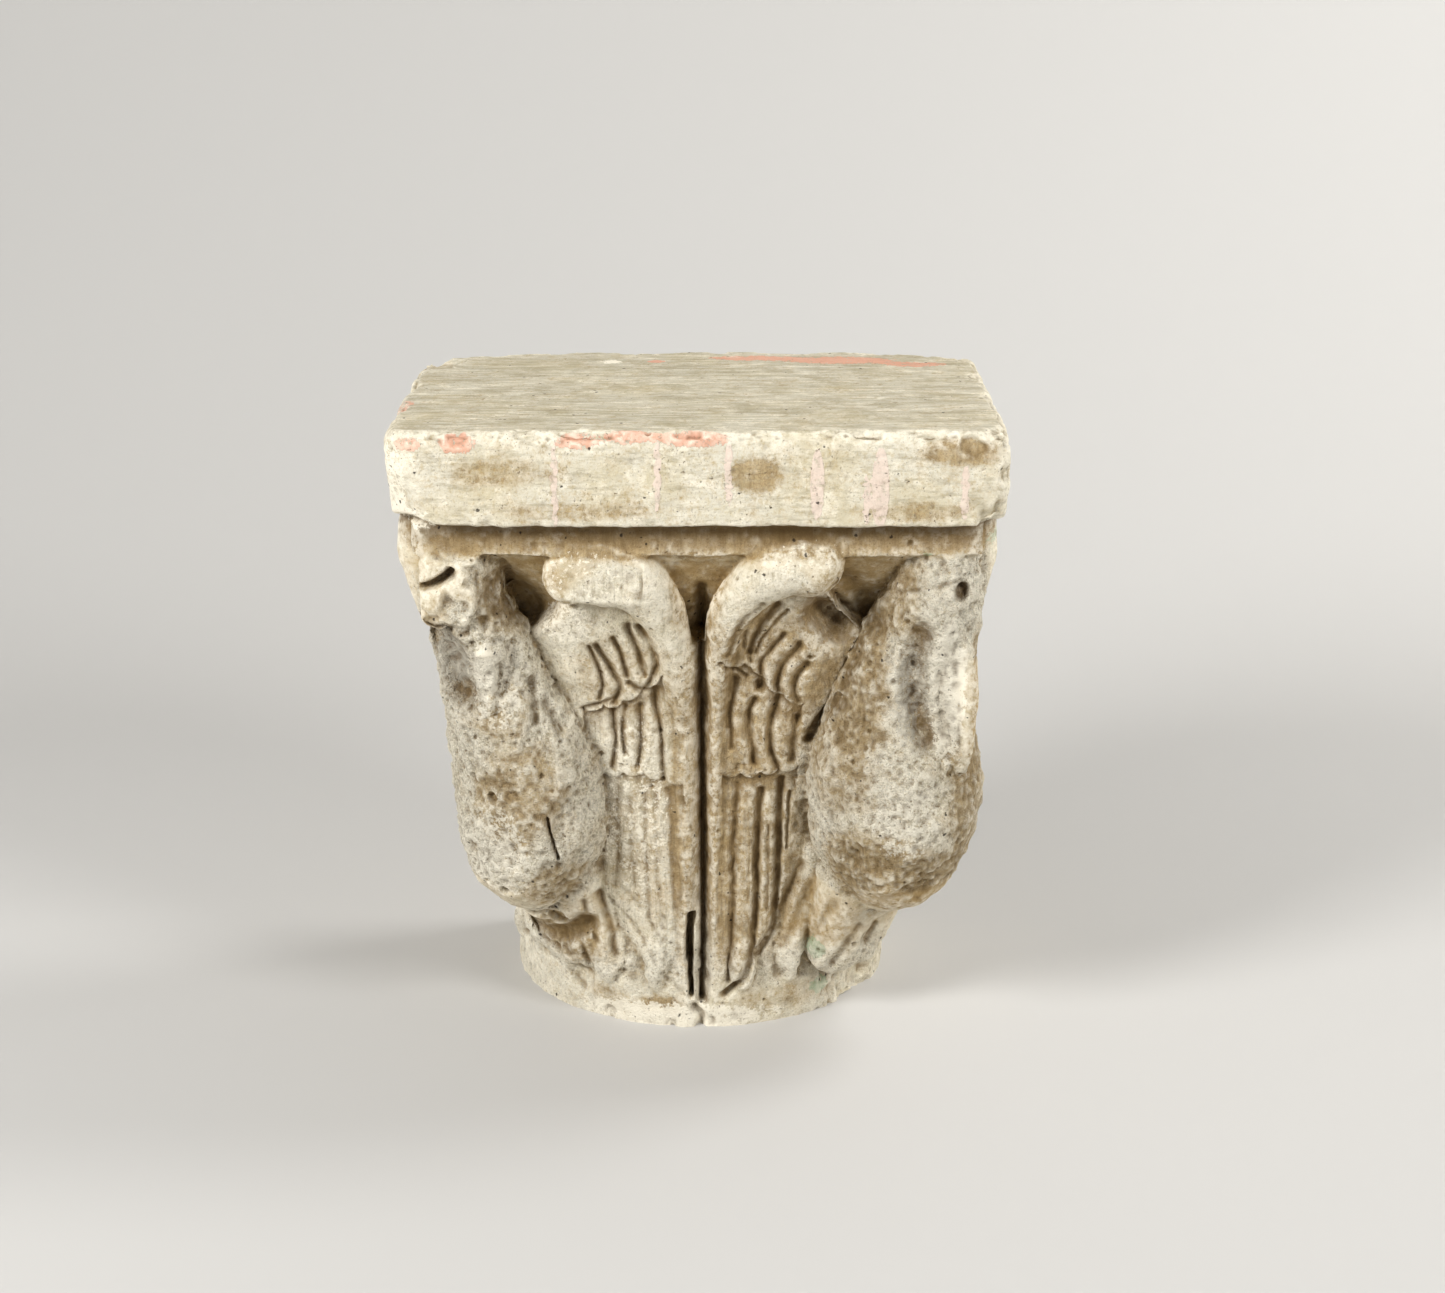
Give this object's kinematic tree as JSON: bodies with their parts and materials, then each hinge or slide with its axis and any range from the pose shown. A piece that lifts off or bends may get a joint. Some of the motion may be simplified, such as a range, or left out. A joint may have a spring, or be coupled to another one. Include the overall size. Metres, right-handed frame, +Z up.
{
  "type": "plaster capital",
  "caption": "Half capital in cast plaster: a worn abacus on a bell carved with corner birds and back-to-back wings, over a low base ring.",
  "frame": {"origin": "centre of the round base, on its bed", "axes": "+Z up, -Y out of the carved front, +Y into the wall behind, +X to the viewer's right"},
  "size_m": [0.3199, 0.215, 0.353],
  "materials": {
    "plaster": "worn, sandy, limewashed and stained cast plaster"
  },
  "bodies": {
    "root": {"capital": "plaster"}
  },
  "joints": []
}
